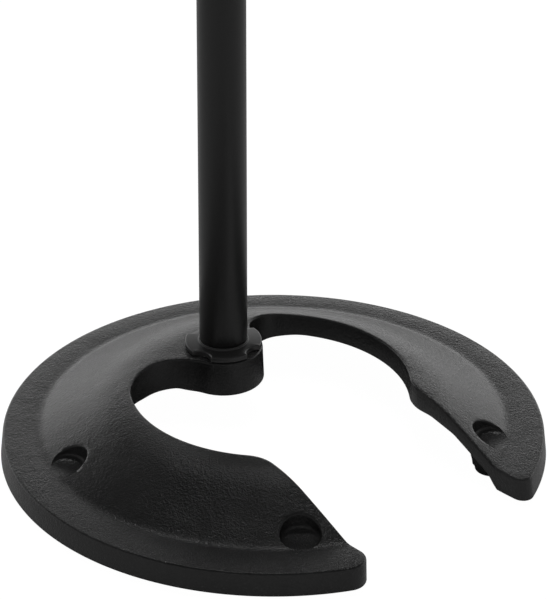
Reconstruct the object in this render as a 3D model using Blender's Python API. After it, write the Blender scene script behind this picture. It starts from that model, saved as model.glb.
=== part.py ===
"""Round-base microphone stand: a cast C-shaped base, a steel tube, a twist clutch and a telescoping mast.

Metres, +Z up. The origin is on the floor, at the centre of the base's round rim.
"""

import math

import bmesh
import bpy
from mathutils import Vector

GAP = 0.0003  # between pieces that touch
OVERCUT = 0.001  # cutters reach this far past a face
SMALL_CHAMFER = 0.0002
TUBE_CHAMFER = 0.0003
SHARP_ANGLE = math.radians(35)  # edges that turn further than this are drawn sharp

# Base casting
BASE_RADIUS = 0.125
BASE_DRAFT = 0.0012  # the rim's foot stands out this far past its top edge
RIM_THICKNESS = 0.0115
RIM_CHAMFER = 0.0009
FLOOR_CLEARANCE = 0.003  # the feet hold the rim this far off the floor
RIM_WIDTH = 0.0169  # flat rim, from the edge to the foot of the dome's slope
DOME_SHIFT = 0.0031  # the dome stands this far behind the rim's centre
DOME_HEIGHT = 0.0204
DOME_SLOPE = math.radians(29)
DOME_CROWN_RADIUS = 0.0488  # arc that levels the slope into the flat crown
DOME_FOOT_RADIUS = 0.014  # hollow arc at the foot of the slope
CROWN_THICKNESS = 0.0119
SLOPE_THICKNESS = 0.0078
SKIRT_WIDTH = 0.0160  # flat underside of the rim
HOLLOW_FOOT_INSET = 0.0040  # the hollow's bend at the foot of the slope
HOLLOW_FOOT_RISE = 0.0022
HOLLOW_BEND = 0.0060  # half the width of its bend under the crown's edge
HOLLOW_BEND_DROP = 0.0032
# Opening: a round window with a mouth cut through the rim
WINDOW_RADIUS = 0.0647
WINDOW_CENTRE = Vector((-0.0016, 0.0065))
MOUTH_ANGLE = math.radians(-47.2)
MOUTH_LEFT = -0.0433  # the mouth's sides, measured across it from the rim's centre
MOUTH_RIGHT = 0.0493
MOUTH_CORNER_RADIUS = 0.020
LEFT_TIP_RADIUS = 0.009
RIGHT_TIP_RADIUS = 0.005
# Hub, where the tube stands
HUB_DISTANCE = 0.0471
HUB_ANGLE = math.radians(119.8)
BOSS_RADIUS = 0.0184
BOSS_DRAFT = 0.0006
BOSS_HEIGHT = 0.0172
BOSS_SINK = 0.0001  # keeps the boss's face just under the crown's
HUB_PAD_RADIUS = 0.038
HUB_PAD_FLARE = 0.002
HUB_PAD_OVERLAP = 0.0005
HUB_PAD_THICKNESS = 0.0162
HUB_PAD_SHIFT = 0.010
LEFT_FILLET_RADIUS = 0.0209
LEFT_BLEND_RADIUS = 0.031
LEFT_FILLET_ANGLE = math.radians(-118.5)
RIGHT_FILLET_RADIUS = 0.0119
# Feet and the dimples above them
FOOT_ANGLES = [math.radians(a) for a in (-157.1, -83.2, -9.0, 103.9)]  # round the dome's centre
FOOT_INSET = 0.0230  # from the rim's edge to the feet's circle
FOOT_RADIUS = 0.008
FOOT_CHAMFER = 0.0008
FOOT_STEM_RADIUS = 0.0034
FOOT_STEM_LENGTH = 0.006
FOOT_SEAT_WALL = 0.0016
FOOT_SEAT_COVER = 0.003  # the seat stops this far under the rim's top
DIMPLE_RADIUS = 0.0093
DIMPLE_FLOOR = 0.0002  # above the rim's top
# Fixing bolt
BOLT_RADIUS = 0.005
BOLT_ENGAGEMENT = 0.016
BOLT_CHAMFER = 0.001
BOLT_HEAD_FLATS = 0.016
BOLT_HEAD_HEIGHT = 0.0055
WASHER_RADIUS = 0.010
WASHER_THICKNESS = 0.0016
SPRING_WASHER_RADIUS = 0.0088
SPRING_WASHER_THICKNESS = 0.0022
SPRING_WASHER_SLIT = 0.0016
COUNTERBORE_DEPTH = 0.0078
COUNTERBORE_CLEARANCE = 0.0012
# Flange under the tube
FLANGE_RADIUS = 0.0180
FLANGE_THICKNESS = 0.0026
FLANGE_CHAMFER = 0.0005
FLANGE_COLLAR_LIP = 0.0004  # the collar stands out this far past the tube
FLANGE_COLLAR_HEIGHT = 0.0012
FLANGE_NOTCH_RADIUS = 0.0065
FLANGE_NOTCH_DEPTH = 0.0033
FLANGE_NOTCH_ANGLE = math.radians(55)
FLANGE_NOTCHES = 4
# Outer tube and its plug
TUBE_RADIUS = 0.0112
TUBE_WALL = 0.0012
TUBE_LENGTH = 0.780
PLUG_LENGTH = 0.026
PLUG_HOLE_SPARE = 0.003  # past the bolt's tip
# Clutch, heights measured from the outer tube's top
CLUTCH_SKIRT_LENGTH = 0.024
CLUTCH_SKIRT_WALL = 0.0027
CLUTCH_SKIRT_CHAMFER = 0.001
CLUTCH_SHOULDER_DROP = 0.0020
CLUTCH_NECK_WALL = 0.0015
CLUTCH_NECK_HEIGHT = 0.018
COLLET_HEIGHT = 0.0140
COLLET_SEAT = 0.0009  # the cone's small end, outside the mast's hole
COLLET_LEAD = 0.001
COLLET_SLIT = 0.0016
COLLET_TAPER = 0.0014
CLUTCH_RING_THICKNESS = 0.0015
CLUTCH_RING_INSET = 0.0006
CLUTCH_RING_LIFT = 0.0015  # above the neck
GRIP_WALL = 0.0036
GRIP_CHAMFER = 0.0008
GRIP_BOTTOM_DROP = 0.0016
GRIP_HEAD_HEIGHT = 0.0090
GRIP_HEAD_RADIUS = 0.0035
GRIP_HEAD_SHARE = 0.6  # of the head's height that its rounding takes
GRIP_FLUTES = 10
GRIP_FLUTE_RADIUS = 0.0036
GRIP_FLUTE_DEPTH = 0.0008
GRIP_FLUTE_START = 0.003
WIPER_THICKNESS = 0.0020
WIPER_INSET = 0.001
WIPER_CHAMFER = 0.0005
# Telescoping mast
MAST_CLEARANCE = 0.0020  # between the mast and the outer tube's bore
MAST_WALL = 0.0012
MAST_STANDOUT = 0.0400  # of the mast's tube above the outer tube, pushed down
MAST_REST_HEIGHT = 0.0500  # from the outer tube's bottom to the mast's, pushed down
GLIDE_LENGTH = 0.030
GLIDE_LIP = 0.0006
GLIDE_BAND = 0.006
GLIDE_STEP = 0.001
END_PLUG_DEPTH = 0.012
END_PLUG_HEAD = 0.003
END_PLUG_SHARE = 0.6  # of the clearance that its head fills
END_PLUG_CHAMFER = 0.0006
# Top thread
STUD_SPIGOT_LENGTH = 0.018
STUD_COLLAR_RADIUS = 0.0115
STUD_COLLAR_HEIGHT = 0.0030
STUD_COLLAR_CHAMFER = 0.0004
STUD_RADIUS = 0.00476
STUD_CHAMFER = 0.0008
STUD_DROP = 0.001  # below the adapter's end
ADAPTER_RADIUS = 0.00794
ADAPTER_LENGTH = 0.0140
ADAPTER_CHAMFER = 0.0006
ADAPTER_SLOT = 0.0022
ADAPTER_SLOT_DEPTH = 0.0018
LOCK_WASHER_THICKNESS = 0.0012
LOCK_RING_RADIUS = 0.0125
LOCK_RING_HEIGHT = 0.0050
LOCK_RING_FLUTES = 24
LOCK_RING_FLUTE_DEPTH = 0.0007
LOCK_RING_LAND = 0.45  # of a flute's pitch

# Levels and places that follow from the sizes above
RIM_BOTTOM = FLOOR_CLEARANCE
RIM_TOP = RIM_BOTTOM + RIM_THICKNESS
CROWN_TOP = RIM_TOP + DOME_HEIGHT
BOSS_BOTTOM = CROWN_TOP - BOSS_HEIGHT
COUNTERBORE_TOP = BOSS_BOTTOM + COUNTERBORE_DEPTH
HUB = Vector((math.cos(HUB_ANGLE), math.sin(HUB_ANGLE))) * HUB_DISTANCE
DOME_CENTRE = Vector((0, DOME_SHIFT))
FOOT_CIRCLE = BASE_RADIUS - FOOT_INSET
FLANGE_BOTTOM = CROWN_TOP + GAP
FLANGE_TOP = FLANGE_BOTTOM + FLANGE_THICKNESS
TUBE_BOTTOM = FLANGE_TOP + FLANGE_COLLAR_HEIGHT + GAP
TUBE_TOP = TUBE_BOTTOM + TUBE_LENGTH
TUBE_BORE = TUBE_RADIUS - TUBE_WALL
MAST_RADIUS = TUBE_BORE - MAST_CLEARANCE
WASHER_TOP = COUNTERBORE_TOP - GAP
SPRING_WASHER_TOP = WASHER_TOP - WASHER_THICKNESS - GAP
BOLT_HEAD_TOP = SPRING_WASHER_TOP - SPRING_WASHER_THICKNESS - GAP
COUNTERBORE_RADIUS = WASHER_RADIUS + COUNTERBORE_CLEARANCE
FLANGE_COLLAR_RADIUS = TUBE_RADIUS + FLANGE_COLLAR_LIP
NECK_RADIUS = TUBE_RADIUS + CLUTCH_NECK_WALL - GAP
SKIRT_RADIUS = TUBE_RADIUS + GAP + CLUTCH_SKIRT_WALL
RING_BOTTOM = TUBE_TOP + CLUTCH_NECK_HEIGHT + CLUTCH_RING_LIFT
GRIP_BOTTOM = TUBE_TOP - GRIP_BOTTOM_DROP
GRIP_SHOULDER = RING_BOTTOM + CLUTCH_RING_THICKNESS + GAP
GRIP_TOP = GRIP_SHOULDER + GRIP_HEAD_HEIGHT
GRIP_BORE = NECK_RADIUS + GAP
GRIP_RADIUS = GRIP_BORE + GRIP_WALL
MAST_TOP = TUBE_TOP + MAST_STANDOUT
MAST_BOTTOM = TUBE_BOTTOM + MAST_REST_HEIGHT
MAST_BORE = MAST_RADIUS - MAST_WALL
MAST_HOLE = MAST_RADIUS + GAP  # in whatever the mast slides or turns in
COLLAR_TOP = MAST_TOP + GAP + STUD_COLLAR_HEIGHT


# ---- small geometry helpers ----

def on_angle(centre, radius, angle):
    return Vector((centre[0] + radius * math.cos(angle), centre[1] + radius * math.sin(angle)))


def circles_meet(first, first_radius, second, second_radius, side):
    """The point on both circles; side +1 is to the left of the way from the first centre to the second."""
    way = second - first
    span = way.length
    along = (first_radius ** 2 - second_radius ** 2 + span ** 2) / (2 * span)
    across = math.sqrt(max(first_radius ** 2 - along ** 2, 0))
    way.normalize()
    return first + way * along + Vector((-way.y, way.x)) * across * side


def circle_meets_line(centre, radius, point, way):
    """The point on both, taking the one further along the way."""
    start = point - centre
    along = -start.dot(way)
    return point + way * (along + math.sqrt(max(along ** 2 - start.dot(start) + radius ** 2, 0)))


def arc(centre, start, end, turn, step=math.radians(5)):
    """Points from start to end round a centre, turning left (+1) or right (-1)."""
    first = math.atan2(start.y - centre.y, start.x - centre.x)
    sweep = (math.atan2(end.y - centre.y, end.x - centre.x) - first) * turn % math.tau
    count = max(2, math.ceil(sweep / step))
    radius = (start - centre).length
    return [on_angle(centre, radius, first + turn * sweep * i / count) for i in range(count + 1)]


def profile_arc(radius, height, size, start, end, steps=4):
    """Points of a turned profile on an arc round (radius, height), between two angles in degrees."""
    angles = [math.radians(start + (end - start) * i / steps) for i in range(steps + 1)]
    return [(radius + size * math.cos(a), height + size * math.sin(a)) for a in angles]


# ---- meshes, materials and cuts ----

def finish(name, color, roughness, metallic):
    material = bpy.data.materials.new(name)
    material.use_nodes = True
    shader = material.node_tree.nodes["Principled BSDF"]
    shader.inputs["Base Color"].default_value = (*color, 1)
    shader.inputs["Roughness"].default_value = roughness
    shader.inputs["Metallic"].default_value = metallic
    return material


def add_object(name, bm, material=None, place=(0, 0, 0)):
    bmesh.ops.recalc_face_normals(bm, faces=bm.faces)
    mesh = bpy.data.meshes.new(name)
    bm.to_mesh(mesh)
    bm.free()
    mesh.shade_smooth()
    mesh.set_sharp_from_angle(angle=SHARP_ANGLE)
    if material:
        mesh.materials.append(material)
    obj = bpy.data.objects.new(name, mesh)
    obj.location = place
    bpy.context.scene.collection.objects.link(obj)
    return obj


def turned_mesh(profile, segments, shifts=None):
    """A closed profile of (radius, height) points turned about Z; shifts moves single rings along Y."""
    bm = bmesh.new()
    rings = []
    for i, (radius, height) in enumerate(profile):
        shift = shifts[i] if shifts else 0
        if radius < 1e-6:
            rings.append([bm.verts.new((0, shift, height))] * segments)
            continue
        around = [on_angle((0, shift), radius, math.tau * s / segments) for s in range(segments)]
        rings.append([bm.verts.new((x, y, height)) for x, y in around])
    for ring, following in zip(rings, rings[1:] + rings[:1]):
        for s in range(segments):
            t = (s + 1) % segments
            corners = list(dict.fromkeys((ring[s], ring[t], following[t], following[s])))
            if len(corners) > 2:
                bm.faces.new(corners)
    return bm


def turned(name, profile, material=None, at=HUB, segments=32):
    return add_object(name, turned_mesh(profile, segments), material, (at[0], at[1], 0))


def prism(name, outline, bottom, top, material=None, at=(0, 0)):
    bm = bmesh.new()
    face = bm.faces.new([bm.verts.new((x, y, bottom)) for x, y in outline])
    raised = bmesh.ops.extrude_face_region(bm, geom=[face])["geom"]
    points = [v for v in raised if isinstance(v, bmesh.types.BMVert)]
    bmesh.ops.translate(bm, verts=points, vec=(0, 0, top - bottom))
    return add_object(name, bm, material, (at[0], at[1], 0))


def cylinder(name, radius, bottom, top, at=HUB, material=None, segments=32):
    return turned(name, [(0, bottom), (radius, bottom), (radius, top), (0, top)], material, at, segments)


def combine(target, tool, operation="DIFFERENCE"):
    """Cuts the tool from the target, or joins it on; the tool is left out of renders."""
    tool.hide_render = True
    tool.display_type = "WIRE"
    modifier = target.modifiers.new(tool.name, "BOOLEAN")
    modifier.operation = operation
    modifier.solver = "EXACT"
    modifier.object = tool
    return tool


def slit(name, radius, width, bottom, top):
    """A cutter from the hub's axis out past a radius, through both faces."""
    reach = radius + OVERCUT
    outline = [(0, -width / 2), (reach, -width / 2), (reach, width / 2), (0, width / 2)]
    return prism(name, outline, bottom - OVERCUT, top + OVERCUT, None, HUB)


def tube_profile(bore, radius, bottom, top, chamfer=TUBE_CHAMFER):
    return [
        (bore, bottom), (radius - chamfer, bottom), (radius, bottom + chamfer),
        (radius, top - chamfer), (radius - chamfer, top), (bore, top),
    ]


# ---- base casting ----

def dome_rings():
    """Rings of the dome's top, from the crown out to the flat rim, as (radius, height above the rim)."""
    slope = math.degrees(DOME_SLOPE)
    foot = BASE_RADIUS - RIM_WIDTH
    crown_drop = DOME_CROWN_RADIUS * (1 - math.cos(DOME_SLOPE))
    crown_end = foot - (DOME_HEIGHT - crown_drop) / math.tan(DOME_SLOPE)
    crown_start = crown_end - DOME_CROWN_RADIUS * math.sin(DOME_SLOPE)
    tangent = DOME_FOOT_RADIUS * math.tan(DOME_SLOPE / 2)
    rings = profile_arc(crown_start, DOME_HEIGHT - DOME_CROWN_RADIUS, DOME_CROWN_RADIUS, 90, 90 - slope, 5)
    rings += profile_arc(foot + tangent, DOME_FOOT_RADIUS, DOME_FOOT_RADIUS, 270 - slope, 270, 3)
    return rings


def hollow_rings():
    """Rings of the hollow underneath, from the rim's flat underside in to the crown."""
    crown = DOME_HEIGHT + RIM_THICKNESS - CROWN_THICKNESS
    foot = BASE_RADIUS - RIM_WIDTH
    low = RIM_THICKNESS - SLOPE_THICKNESS
    skirt = BASE_RADIUS - SKIRT_WIDTH
    crown_edge = foot - (crown - low) / math.tan(DOME_SLOPE)
    return [
        (skirt, 0), (foot - HOLLOW_FOOT_INSET, low + HOLLOW_FOOT_RISE),
        (crown_edge + HOLLOW_BEND, crown - HOLLOW_BEND_DROP), (crown_edge - HOLLOW_BEND, crown),
    ]


def opening_outline():
    """The window and its mouth, anticlockwise from the left tip, carried out past the rim."""
    out = Vector((math.cos(MOUTH_ANGLE), math.sin(MOUTH_ANGLE)))
    across = Vector((-out.y, out.x))
    middle = Vector((0, 0))

    def tip(offset, side, radius):
        centre = circle_meets_line(middle, BASE_RADIUS - radius, across * (offset + side * radius), out)
        return centre, centre - across * side * radius, centre * (BASE_RADIUS / centre.length)

    def corner(offset, side):
        start = across * (offset + side * MOUTH_CORNER_RADIUS)
        centre = circle_meets_line(WINDOW_CENTRE, WINDOW_RADIUS + MOUTH_CORNER_RADIUS, start, out)
        on_window = WINDOW_CENTRE + (centre - WINDOW_CENTRE).normalized() * WINDOW_RADIUS
        return centre, centre - across * side * MOUTH_CORNER_RADIUS, on_window

    def touch(centre, other, radius):
        """Where a circle touches another, seen from its own centre; a negative radius is the far side."""
        return centre + (other - centre).normalized() * radius

    left_tip, left_line, left_rim = tip(MOUTH_LEFT, -1, LEFT_TIP_RADIUS)
    right_tip, right_line, right_rim = tip(MOUTH_RIGHT, 1, RIGHT_TIP_RADIUS)
    left_corner, left_start, left_window = corner(MOUTH_LEFT, -1)
    right_corner, right_start, right_window = corner(MOUTH_RIGHT, 1)
    left_fillet = on_angle(HUB, BOSS_RADIUS + LEFT_FILLET_RADIUS, LEFT_FILLET_ANGLE)
    blend = circles_meet(
        left_fillet, LEFT_BLEND_RADIUS - LEFT_FILLET_RADIUS,
        WINDOW_CENTRE, WINDOW_RADIUS - LEFT_BLEND_RADIUS, -1,
    )
    right_fillet = circles_meet(
        HUB, BOSS_RADIUS + RIGHT_FILLET_RADIUS, WINDOW_CENTRE, WINDOW_RADIUS - RIGHT_FILLET_RADIUS, 1
    )
    window_to_blend = touch(WINDOW_CENTRE, blend, WINDOW_RADIUS)
    blend_to_fillet = touch(blend, left_fillet, LEFT_BLEND_RADIUS)
    fillet_to_boss = touch(left_fillet, HUB, LEFT_FILLET_RADIUS)
    boss_to_fillet = touch(HUB, right_fillet, BOSS_RADIUS)
    fillet_to_window = touch(WINDOW_CENTRE, right_fillet, WINDOW_RADIUS)

    points = arc(left_tip, left_rim, left_line, 1)
    points += arc(left_corner, left_start, left_window, 1)
    points += arc(WINDOW_CENTRE, left_window, window_to_blend, -1)
    points += arc(blend, window_to_blend, blend_to_fillet, -1)
    points += arc(left_fillet, blend_to_fillet, fillet_to_boss, -1)
    points += arc(HUB, fillet_to_boss, boss_to_fillet, 1)
    points += arc(right_fillet, boss_to_fillet, fillet_to_window, -1)
    points += arc(WINDOW_CENTRE, fillet_to_window, right_window, -1)
    points += arc(right_corner, right_window, right_start, 1)
    points += arc(right_tip, right_line, right_rim, 1)
    beyond = 1.4
    points += [right_rim * beyond, out * BASE_RADIUS * beyond, left_rim * beyond]
    kept = []
    for point in points:
        if not kept or (point - kept[-1]).length > 1e-5:
            kept.append(point)
    return kept


def base_casting(iron):
    dome = dome_rings()
    hollow = hollow_rings()
    top = [(0, CROWN_TOP)] + [(r, RIM_TOP + h) for r, h in dome]
    rim = [
        (BASE_RADIUS - RIM_CHAMFER, RIM_TOP), (BASE_RADIUS, RIM_TOP - RIM_CHAMFER),
        (BASE_RADIUS + BASE_DRAFT, RIM_BOTTOM + RIM_CHAMFER),
        (BASE_RADIUS + BASE_DRAFT - RIM_CHAMFER, RIM_BOTTOM),
    ]
    under = [(r, RIM_BOTTOM + h) for r, h in hollow] + [(0, CROWN_TOP - CROWN_THICKNESS)]
    shifts = [DOME_SHIFT] * len(top) + [0] * len(rim) + [DOME_SHIFT] * len(under)
    casting = add_object("base_casting", turned_mesh(top + rim + under, 96, shifts), iron)

    pad_at = HUB + Vector((-HUB_PAD_SHIFT, 0))
    pad_bottom = CROWN_TOP - HUB_PAD_THICKNESS
    pad_top = CROWN_TOP - CROWN_THICKNESS + HUB_PAD_OVERLAP
    pad = [
        (0, pad_bottom), (HUB_PAD_RADIUS, pad_bottom),
        (HUB_PAD_RADIUS + HUB_PAD_FLARE, pad_top), (0, pad_top),
    ]
    combine(casting, turned("hub_pad", pad, at=pad_at, segments=40), "UNION")
    for i, angle in enumerate(FOOT_ANGLES):
        at = on_angle(DOME_CENTRE, FOOT_CIRCLE, angle)
        seat_top = RIM_TOP - FOOT_SEAT_COVER
        seat = cylinder(f"foot_seat_{i + 1}", FOOT_RADIUS + FOOT_SEAT_WALL, RIM_BOTTOM, seat_top, at)
        combine(casting, seat, "UNION")
    combine(casting, prism("opening", opening_outline(), RIM_BOTTOM - OVERCUT, CROWN_TOP + OVERCUT))
    boss = [
        (0, BOSS_BOTTOM), (BOSS_RADIUS + BOSS_DRAFT, BOSS_BOTTOM),
        (BOSS_RADIUS + BOSS_SINK, CROWN_TOP - BOSS_SINK), (0, CROWN_TOP - BOSS_SINK),
    ]
    combine(casting, turned("boss", boss, segments=40), "UNION")
    combine(casting, cylinder("bolt_hole", BOLT_RADIUS + GAP, BOSS_BOTTOM - OVERCUT, CROWN_TOP + OVERCUT))
    combine(casting, cylinder("counterbore", COUNTERBORE_RADIUS, BOSS_BOTTOM - OVERCUT, COUNTERBORE_TOP))
    for i, angle in enumerate(FOOT_ANGLES):
        at = on_angle(DOME_CENTRE, FOOT_CIRCLE, angle)
        dimple = cylinder(f"dimple_{i + 1}", DIMPLE_RADIUS, RIM_TOP + DIMPLE_FLOOR, CROWN_TOP + OVERCUT, at)
        combine(casting, dimple)
        stem_top = RIM_BOTTOM + FOOT_STEM_LENGTH + GAP
        hole = cylinder(
            f"foot_hole_{i + 1}", FOOT_STEM_RADIUS + GAP, RIM_BOTTOM - OVERCUT, stem_top, at, segments=20)
        combine(casting, hole)
    return casting


def feet(rubber):
    seat = RIM_BOTTOM - GAP
    stem_top = RIM_BOTTOM + FOOT_STEM_LENGTH
    profile = [
        (0, 0), (FOOT_RADIUS - FOOT_CHAMFER, 0), (FOOT_RADIUS, FOOT_CHAMFER), (FOOT_RADIUS, seat),
        (FOOT_STEM_RADIUS, seat), (FOOT_STEM_RADIUS, stem_top), (0, stem_top),
    ]
    for i, angle in enumerate(FOOT_ANGLES):
        turned(f"foot_{i + 1}", profile, rubber, on_angle(DOME_CENTRE, FOOT_CIRCLE, angle), 24)


# ---- fixing bolt, washers and flange ----

def fixing_bolt(steel):
    corner = BOLT_HEAD_FLATS / math.sqrt(3)
    hexagon = [on_angle((0, 0), corner, math.tau * i / 6) for i in range(6)]
    bolt = prism("base_bolt", hexagon, BOLT_HEAD_TOP - BOLT_HEAD_HEIGHT, BOLT_HEAD_TOP, steel, HUB)
    tip = TUBE_BOTTOM + BOLT_ENGAGEMENT
    shank = [
        (0, BOLT_HEAD_TOP - OVERCUT), (BOLT_RADIUS, BOLT_HEAD_TOP - OVERCUT),
        (BOLT_RADIUS, tip - BOLT_CHAMFER), (BOLT_RADIUS - BOLT_CHAMFER, tip), (0, tip),
    ]
    combine(bolt, turned("bolt_shank", shank), "UNION")


def washers(steel):
    hole = BOLT_RADIUS + GAP
    flat = tube_profile(hole, WASHER_RADIUS, WASHER_TOP - WASHER_THICKNESS, WASHER_TOP, SMALL_CHAMFER)
    turned("flat_washer", flat, steel, HUB, 24)
    bottom = SPRING_WASHER_TOP - SPRING_WASHER_THICKNESS
    ring = tube_profile(hole, SPRING_WASHER_RADIUS, bottom, SPRING_WASHER_TOP, SMALL_CHAMFER)
    washer = turned("spring_washer", ring, steel, HUB, 24)
    combine(washer, slit("washer_slit", SPRING_WASHER_RADIUS, SPRING_WASHER_SLIT, bottom, SPRING_WASHER_TOP))


def base_flange(zinc):
    collar_top = FLANGE_TOP + FLANGE_COLLAR_HEIGHT
    profile = [
        (BOLT_RADIUS + GAP, FLANGE_BOTTOM), (FLANGE_RADIUS, FLANGE_BOTTOM),
        (FLANGE_RADIUS, FLANGE_TOP - FLANGE_CHAMFER), (FLANGE_RADIUS - FLANGE_CHAMFER, FLANGE_TOP),
        (FLANGE_COLLAR_RADIUS, FLANGE_TOP), (FLANGE_COLLAR_RADIUS, collar_top - SMALL_CHAMFER),
        (FLANGE_COLLAR_RADIUS - SMALL_CHAMFER, collar_top), (BOLT_RADIUS + GAP, collar_top),
    ]
    flange = turned("base_flange", profile, zinc, segments=48)
    reach = FLANGE_RADIUS - FLANGE_NOTCH_DEPTH + FLANGE_NOTCH_RADIUS
    for i in range(FLANGE_NOTCHES):
        at = on_angle(HUB, reach, FLANGE_NOTCH_ANGLE + math.tau * i / FLANGE_NOTCHES)
        bottom, top = FLANGE_BOTTOM - OVERCUT, FLANGE_TOP + OVERCUT
        combine(flange, cylinder(f"notch_{i + 1}", FLANGE_NOTCH_RADIUS, bottom, top, at))


# ---- tubes ----

def outer_tube(coated, steel):
    turned("outer_tube", tube_profile(TUBE_BORE, TUBE_RADIUS, TUBE_BOTTOM, TUBE_TOP), coated)
    hole_end = TUBE_BOTTOM + BOLT_ENGAGEMENT + PLUG_HOLE_SPARE
    plug_radius = TUBE_BORE - GAP
    plug_top = TUBE_BOTTOM + PLUG_LENGTH
    plug = [
        (0, hole_end), (BOLT_RADIUS + GAP, hole_end), (BOLT_RADIUS + GAP, TUBE_BOTTOM),
        (plug_radius, TUBE_BOTTOM), (plug_radius, plug_top), (0, plug_top),
    ]
    turned("tube_plug", plug, steel)


def mast(coated, nylon):
    turned("mast_tube", tube_profile(MAST_BORE, MAST_RADIUS, MAST_BOTTOM, MAST_TOP), coated)
    lip = MAST_BORE - GAP
    head = MAST_BOTTOM - GAP
    foot = head - END_PLUG_HEAD
    reach = MAST_RADIUS + MAST_CLEARANCE * END_PLUG_SHARE
    plug = [
        (0, foot), (reach - END_PLUG_CHAMFER, foot), (reach, foot + END_PLUG_CHAMFER), (reach, head),
        (lip, head), (lip, head + END_PLUG_DEPTH), (0, head + END_PLUG_DEPTH),
    ]
    turned("mast_end_plug", plug, nylon)
    top = MAST_BOTTOM + GLIDE_LENGTH
    wide = TUBE_BORE - GAP
    waist = wide - GLIDE_LIP
    low, high = MAST_BOTTOM + GLIDE_BAND, top - GLIDE_BAND
    glide = [
        (MAST_HOLE, MAST_BOTTOM), (wide, MAST_BOTTOM), (wide, low), (waist, low + GLIDE_STEP),
        (waist, high - GLIDE_STEP), (wide, high), (wide, top), (MAST_HOLE, top),
    ]
    turned("mast_glide", glide, nylon)


# ---- clutch ----

def clutch_body(zinc):
    bottom = TUBE_TOP - CLUTCH_SKIRT_LENGTH
    shoulder = TUBE_TOP - CLUTCH_SHOULDER_DROP
    neck_top = TUBE_TOP + CLUTCH_NECK_HEIGHT
    bore = TUBE_RADIUS + GAP
    seat = MAST_HOLE + COLLET_SEAT
    profile = [
        (bore, bottom), (SKIRT_RADIUS - CLUTCH_SKIRT_CHAMFER, bottom),
        (SKIRT_RADIUS, bottom + CLUTCH_SKIRT_CHAMFER), (SKIRT_RADIUS, shoulder),
        (NECK_RADIUS, shoulder), (NECK_RADIUS, neck_top), (seat + COLLET_TAPER, neck_top),
        (seat, neck_top - COLLET_HEIGHT), (MAST_HOLE, neck_top - COLLET_HEIGHT - COLLET_LEAD),
        (MAST_HOLE, TUBE_TOP + GAP), (bore, TUBE_TOP + GAP),
    ]
    turned("clutch_body", profile, zinc)


def clutch_collet(nylon):
    neck_top = TUBE_TOP + CLUTCH_NECK_HEIGHT
    bottom = neck_top - COLLET_HEIGHT + GAP
    seat = MAST_HOLE + COLLET_SEAT - GAP
    top = RING_BOTTOM - GAP
    wide = seat + COLLET_TAPER
    profile = [(MAST_HOLE, bottom), (seat, bottom), (wide, neck_top), (wide, top), (MAST_HOLE, top)]
    collet = turned("clutch_collet", profile, nylon)
    combine(collet, slit("collet_slit", wide, COLLET_SLIT, bottom, top))


def clutch_grip(plastic, brass, rubber):
    ring_top = RING_BOTTOM + CLUTCH_RING_THICKNESS
    ring_radius = NECK_RADIUS - CLUTCH_RING_INSET
    turned("clutch_ring", tube_profile(MAST_HOLE, ring_radius, RING_BOTTOM, ring_top, SMALL_CHAMFER), brass)
    flute_end = GRIP_TOP - GRIP_HEAD_HEIGHT * GRIP_HEAD_SHARE
    rounding = profile_arc(GRIP_RADIUS - GRIP_HEAD_RADIUS, flute_end, GRIP_HEAD_RADIUS, 15, 75, 3)
    profile = [
        (GRIP_BORE, GRIP_BOTTOM), (GRIP_RADIUS - GRIP_CHAMFER, GRIP_BOTTOM),
        (GRIP_RADIUS, GRIP_BOTTOM + GRIP_CHAMFER), (GRIP_RADIUS, flute_end), *rounding,
        (NECK_RADIUS, GRIP_TOP), (MAST_HOLE, GRIP_TOP),
        (MAST_HOLE, GRIP_SHOULDER), (GRIP_BORE, GRIP_SHOULDER),
    ]
    grip = turned("clutch_grip", profile, plastic, segments=40)
    reach = GRIP_RADIUS - GRIP_FLUTE_DEPTH + GRIP_FLUTE_RADIUS
    for i in range(GRIP_FLUTES):
        at = on_angle(HUB, reach, math.tau * (i + 0.5) / GRIP_FLUTES)
        low, high = GRIP_BOTTOM + GRIP_FLUTE_START, flute_end - OVERCUT
        combine(grip, cylinder(f"flute_{i + 1}", GRIP_FLUTE_RADIUS, low, high, at, segments=16))
    low = GRIP_TOP + GAP
    high = low + WIPER_THICKNESS
    wiper = tube_profile(MAST_HOLE, NECK_RADIUS - WIPER_INSET, low, high, WIPER_CHAMFER)
    turned("clutch_wiper", wiper, rubber)


# ---- top thread ----

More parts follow.
